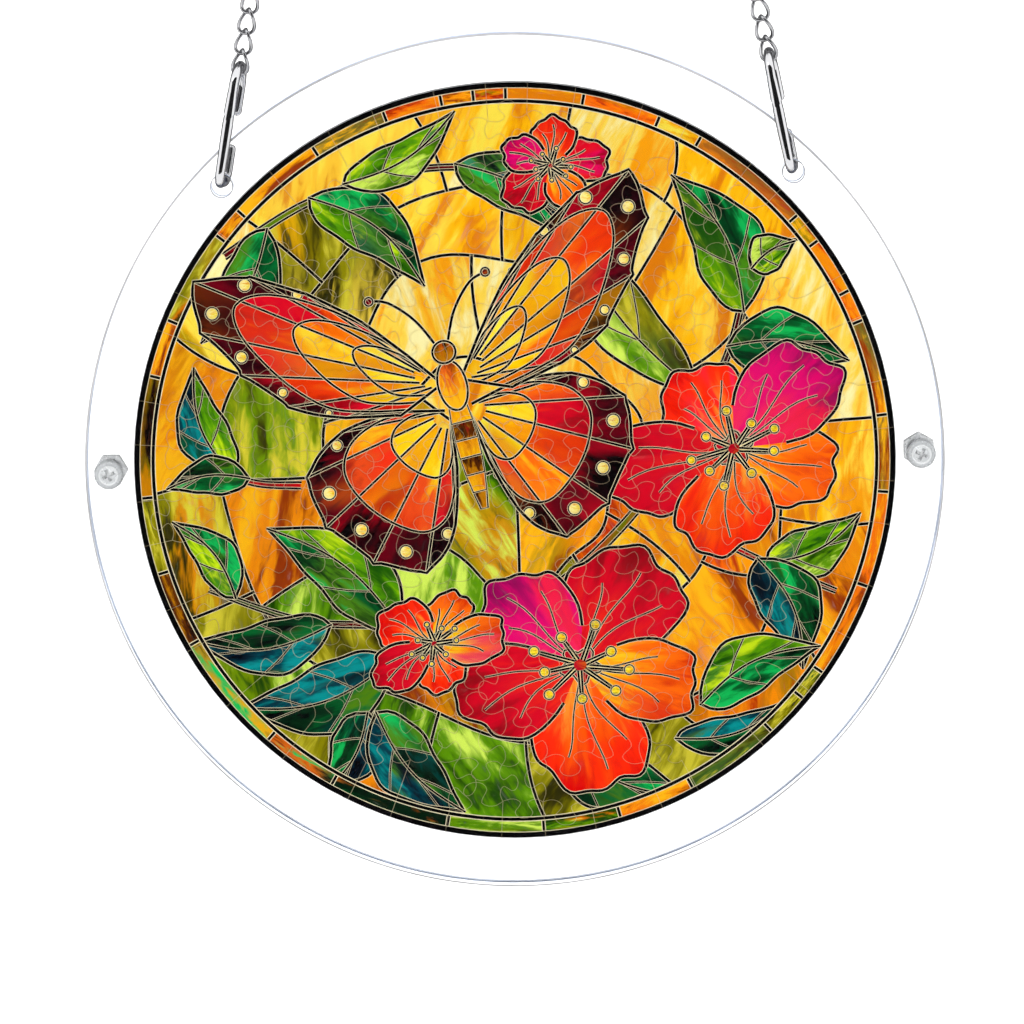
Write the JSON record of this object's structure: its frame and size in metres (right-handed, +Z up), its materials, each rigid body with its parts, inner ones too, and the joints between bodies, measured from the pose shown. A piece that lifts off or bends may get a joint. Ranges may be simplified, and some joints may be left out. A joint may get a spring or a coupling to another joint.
{
  "type": "acrylic puzzle suncatcher",
  "caption": "Round hanging suncatcher: a printed stained-glass style jigsaw clamped between clear acrylic discs with nylon screws, on wire hooks and a fine twisted-link chain.",
  "frame": {"origin": "where the chain rests on its peg, under the chain's middle link", "axes": "+Z up along the hanging line, front of the picture towards -Y, +X to the right seen from the front"},
  "size_m": [0.2, 0.0151, 0.4813],
  "materials": {
    "clear_acrylic": "clear cast acrylic sheet, polished faces and cut edges",
    "printed_acrylic": "acrylic printed as coloured panels between black lines, glossy, cut into jigsaw pieces",
    "clear_nylon": "translucent natural nylon, moulded",
    "bright_wire": "bright nickel-plated steel wire"
  },
  "bodies": {
    "root": {"front_plate": "clear_acrylic", "back_plate": "clear_acrylic", "puzzle_disc": "printed_acrylic", "screw_left": "clear_nylon", "screw_right": "clear_nylon", "nut_left": "clear_nylon", "nut_right": "clear_nylon", "wire_hook_left": "bright_wire", "wire_hook_right": "bright_wire", "chain_left": "bright_wire", "chain_over_peg": "bright_wire", "chain_right": "bright_wire"}
  },
  "joints": []
}
